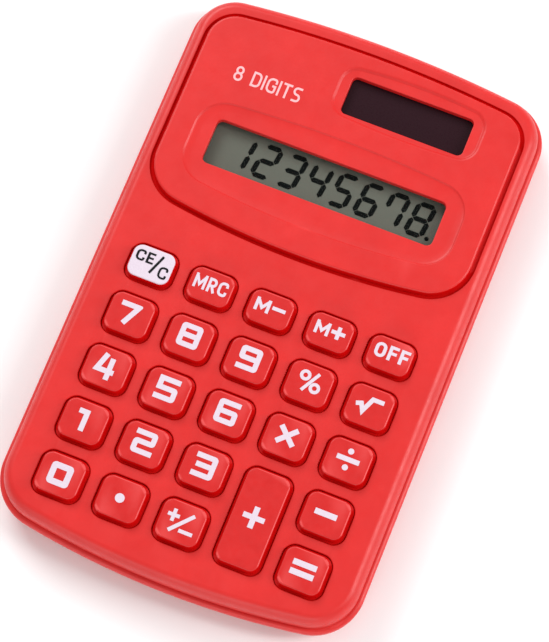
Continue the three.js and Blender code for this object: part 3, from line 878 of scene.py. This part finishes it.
def letter(character, weight):
    """A letter's width and its shapes, 1 high, from its lower left corner."""
    w = weight
    low, high = w / 2, 1 - w / 2
    stem, crossbar = [(low, 0), (low, 1)], [(low, 0.5), (0.5, 0.5)]
    if character == "M":
        right = 0.86 - low
        valley = [(low, 0.9), (0.43, 0.3), (right, 0.9)]
        return 0.86, strokes(w, stem, [(right, 0), (right, 1)], valley)
    if character == "R":
        right = 0.62 - low
        bowl = [(low, high), (right, high, 0.3), (right, 0.45, 0.3), (low, 0.45)]
        return 0.62, strokes(w, stem, bowl, [(0.3, 0.45), (0.62 - low * 0.8, 0)])
    if character == "O":
        right = 0.68 - low
        loop = [(low, low, 0.34), (right, low, 0.34), (right, high, 0.34), (low, high, 0.34)]
        return 0.68, stroke(loop, w, True)
    if character in "CG":
        right = 0.68 - low
        arc = [
            (right, 0.66), (right, high, 0.34), (low, high, 0.34), (low, low, 0.34),
            (right, low, 0.34), (right, 0.34),
        ]
        spur = [(right, 0.2), (right, 0.48), (0.4, 0.48)]
        return 0.68, strokes(w, arc, spur) if character == "G" else strokes(w, arc)
    if character == "F":
        return 0.56, strokes(w, [(low, 0), (low, high), (0.56, high)], crossbar)
    if character == "E":
        return 0.56, strokes(w, [(0.56, high), (low, high), (low, low), (0.56, low)], crossbar)
    if character == "D":
        right = 0.66 - low
        loop = [(low, low), (right, low, 0.36), (right, high, 0.36), (low, high)]
        return 0.66, stroke(loop, w, True)
    if character == "I":
        return w, bar(low, 0.5, w, 1)
    if character == "T":
        return 0.62, bar(0.31, high, 0.62, w) + bar(0.31, 0.5, w, 1)
    if character == "S":
        right = 0.6 - low
        curve = [
            (0.04, low), (right, low, 0.3), (right, 0.5, 0.3), (low, 0.5, 0.3),
            (low, high, 0.3), (0.58, high),
        ]
        return 0.6, stroke(curve, w)
    if character == "8":
        left, right = low + 0.03, 0.59 - low
        upper = [(left, 0.52, 0.28), (right, 0.52, 0.28), (right, high, 0.28), (left, high, 0.28)]
        left, right = low, 0.62 - low
        lower = [(left, low, 0.3), (right, low, 0.3), (right, 0.52, 0.3), (left, 0.52, 0.3)]
        return 0.62, stroke(upper, w, True) + stroke(lower, w, True)
    return 0.35, []


def word(text, x, y, width, height, weight):
    """Letters in a row, stretched to a width, from their lower left corner."""
    gap = 0.14
    letters = [letter(character, weight) for character in text]
    natural = sum(w for w, _ in letters) + gap * (len(text) - 1)
    stretch = width / (natural * height)
    shapes, along = [], 0
    for letter_width, strokes in letters:
        shapes += [
            [Vector((x + (along + p.x) * height * stretch, y + p.y * height)) for p in shape]
            for shape in strokes
        ]
        along += letter_width + gap
    return shapes


def key_legend(name):
    """The shapes printed on a key, about its middle."""
    if name in "0123456789":
        return digit(name)
    signs = {
        "point": dot(-0.15, 0.1, 1.8),
        "plus": bar(0, 0.3, 4.2, 1.0) + bar(0, 0.3, 1.05, 4.2),
        "minus": bar(0, 0.25, 4.3, 1.1),
        "equals": bar(-0.05, 1.1, 4.6, 1.1) + bar(-0.05, -0.7, 4.6, 1.1),
        "multiply": strokes(1.0, [(-1.7, -1.3), (1.6, 1.9)], [(-1.7, 1.9), (1.6, -1.3)]),
        "divide": bar(0, 0.3, 4.4, 0.95) + dot(0, 1.9, 1.15) + dot(0, -1.3, 1.15),
        "square_root": stroke(
            [(-2.6, -0.15), (-1.6, 0.2), (-0.95, -1.1), (0.2, 1.55), (2.4, 1.55)], 0.85,
        ),
        "percent": ring(-1.15, 1.35, 2.15, 0.62) + ring(1.3, -0.5, 2.15, 0.62)
                   + stroke([(1.3, 2.4), (-0.95, -1.6)], 0.62),
        "sign": bar(-1.75, 0.9, 2.3, 0.7) + bar(-1.75, 0.9, 0.7, 2.4)
                + stroke([(2.0, 2.0), (-1.75, -2.1)], 0.72) + bar(1.45, -1.5, 2.7, 0.7),
        "memory_recall": word("MRC", -3.35, -1.05, 6.6, 2.85, 0.185),
        "memory_minus": word("M", -3.05, -0.95, 2.9, 2.6, 0.185) + bar(1.6, 0.5, 2.6, 0.7),
        "memory_plus": word("M", -3.0, -0.95, 2.8, 2.6, 0.185) + bar(1.55, 0.4, 2.7, 0.75)
                       + bar(1.55, 0.4, 0.75, 2.5),
        "off": word("OFF", -3.1, -1.0, 6.7, 2.9, 0.2),
        "clear": word("CE", -3.4, -0.05, 3.6, 2.2, 0.17)
                 + stroke([(1.7, 2.2), (0.2, -1.7)], 0.46)
                 + word("C", 1.75, -2.05, 1.75, 2.4, 0.155),
    }
    return signs[name]


def key_legends():
    for node in key_nodes():
        name = node.removeprefix("key_")
        middle = centre_of(node)
        shapes = moved(key_legend(name), middle.x, middle.y)
        ink = BLACK_INK if name == "clear" else WHITE_INK
        slot = "dark_film" if name == "clear" else "key_print"
        print_piece("legend_" + name, shapes, KEY_TOP - INK, ink, node, slot)


# ------------------------------------------------------------------ display

DIGITS = "12345678"
DIGIT_PITCH, DIGIT_SLANT = 5.22, 0.12
LAST_DIGIT_X, DIGIT_Y = 19.45, 25.9
SEGMENTS = {
    "1": "bc", "2": "abged", "3": "abgcd", "4": "fgbc",
    "5": "afgcd", "6": "afgedc", "7": "abcf", "8": "abcdefg",
}


def segment_shapes(character):
    """A digit's segments about its middle, upright, with mitred ends and small gaps."""
    half_w, half_h, width, gap = 1.56, 3.1, 0.98, 0.08
    w = width / 2

    def run(start, end):
        a, b = Vector(start), Vector(end)
        along = (b - a).normalized()
        side = Vector((-along.y, along.x)) * w
        a, b = a + along * gap, b - along * gap
        return [a, a + along * w - side, b - along * w - side, b, b - along * w + side, a + along * w + side]

    ends = {
        "a": ((-half_w, half_h), (half_w, half_h)), "b": ((half_w, half_h), (half_w, 0)),
        "c": ((half_w, 0), (half_w, -half_h)), "d": ((-half_w, -half_h), (half_w, -half_h)),
        "e": ((-half_w, 0), (-half_w, -half_h)), "f": ((-half_w, half_h), (-half_w, 0)),
        "g": ((-half_w, 0), (half_w, 0)),
    }
    return [run(*ends[s]) for s in SEGMENTS[character]]


def bevelled_plate(node, bevel=0.12):
    """A flat plate filling a node's box, its edges bevelled."""
    low, high = box_mm(node)
    middle, size = (low + high) / 2, high - low
    outline = plate(middle.x, middle.y, size.x, size.y, 0.3)
    levels = [(bevel, low.z), (0, low.z + bevel), (0, high.z - bevel), (bevel, high.z)]
    return closed_stack(outline, levels, 2, 1)


def solar_plate():
    piece = bevelled_plate("solar_cell").make("solar_plate", [SILICON], 20)
    place(piece, "casing", "solar_glass", "solar_cell")


def display():
    """The front plate, and between the two plates a grey ground with the digits on it."""
    piece = bevelled_plate("lcd_front_glass").make("display_front_plate", [DISPLAY_GLASS], 20)
    place(piece, "casing", "display_glass", "lcd_front_glass")
    middle, size = (glass_low + glass_high) / 2, glass_high - glass_low
    crystal = glass_low.z - 0.1
    ground = plate(middle.x, middle.y, size.x - 0.8, size.y - 0.8, 0.3)
    sheet = closed_stack(ground, [(0, crystal + 0.01), (0, crystal + 0.03)], 2, 1)
    place(sheet.make("display_ground", [GREY_FILM]), "casing", "display_backing")
    shapes = []
    for i, character in enumerate(DIGITS):
        x = LAST_DIGIT_X - DIGIT_PITCH * (len(DIGITS) - 1 - i)
        shapes += moved(segment_shapes(character), x, DIGIT_Y, DIGIT_SLANT)
    shapes += dot(21.9, 22.8, 0.85)
    print_piece("display_digits", shapes, crystal + 0.04, SEGMENT_INK, "casing", "dark_film")


# ------------------------------------------------------------------ stage

def stage():
    """A plain pale floor under the calculator."""
    mesh = bpy.data.meshes.new("floor")
    half = 1.5
    corners = [(-half, -half, 0), (half, -half, 0), (half, half, 0), (-half, half, 0)]
    mesh.from_pydata(corners, [], [(0, 1, 2, 3)])
    floor = bpy.data.objects.new("floor", mesh)
    bpy.context.scene.collection.objects.link(floor)
    look = Look("pale floor", Roughness=0.7)
    clean, dusty = (0.97, 0.97, 0.97), (0.94, 0.94, 0.945)
    look.colour(look.blend(look.span(look.noise(40, 3), 0, 1), clean, dusty))
    mesh.materials.append(look.material)


def area_light(name, position, target, size, power):
    """A soft rectangular light aimed at a target, all in metres and watts."""
    data = bpy.data.lights.new(name, "AREA")
    data.shape = "RECTANGLE"
    data.size, data.size_y = size
    data.energy = power
    light = bpy.data.objects.new(name, data)
    light.location = position
    aim = Vector(target) - Vector(position)
    light.rotation_euler = aim.to_track_quat("-Z", "Y").to_euler()
    bpy.context.scene.collection.objects.link(light)


def lights():
    world = bpy.data.worlds.new("studio")
    world.use_nodes = True
    background = world.node_tree.nodes["Background"]
    background.inputs["Color"].default_value = (1, 1, 1, 1)
    background.inputs["Strength"].default_value = 0.56
    bpy.context.scene.world = world
    area_light("left softbox", (-0.75, 0.75, 0.8), (0, 0.01, 0), (0.7, 0.5), 10)
    area_light("right softbox", (0.82, 0.24, 0.62), (0, 0, 0), (0.22, 0.8), 6.3)
    area_light("low front strip", (0.1, -0.9, 0.35), (0, 0, 0), (0.9, 0.25), 2.5)


def camera():
    """The view: turned about the target, then rolled about its own axis."""
    azimuth, elevation, distance = math.radians(24.07), math.radians(73.86), 0.50124
    target = Vector((1.6, -3.64, KEY_TOP)) * MM
    back = Vector((
        math.sin(azimuth) * math.cos(elevation),
        -math.cos(azimuth) * math.cos(elevation),
        math.sin(elevation),
    ))
    data = bpy.data.cameras.new("camera")
    data.lens = 150.8
    data.sensor_width = 36
    data.clip_start = 0.01
    made = bpy.data.objects.new("camera", data)
    level = (-back).to_track_quat("-Z", "Y").to_matrix()
    roll = Matrix.Rotation(math.radians(-2.278), 3, "Z")
    made.matrix_world = Matrix.Translation(target + back * distance) @ (level @ roll).to_4x4()
    bpy.context.scene.collection.objects.link(made)
    bpy.context.scene.camera = made


camera()
lights()
stage()
front_case()
rear_case()
battery_door()
button_cell()
for screw_node in CASE_SCREWS:
    screw(screw_node)
for key_node in key_nodes():
    key_piece(key_node)
key_legends()
display()
solar_plate()
text = word("8 DIGITS", -24.0, 38.2, 13.6, 3.1, 0.14)
print_piece("panel_text", text, PANEL_FACE - 0.02, PINK_INK, "casing", "key_print")

bpy.context.scene.view_settings.view_transform = "Standard"
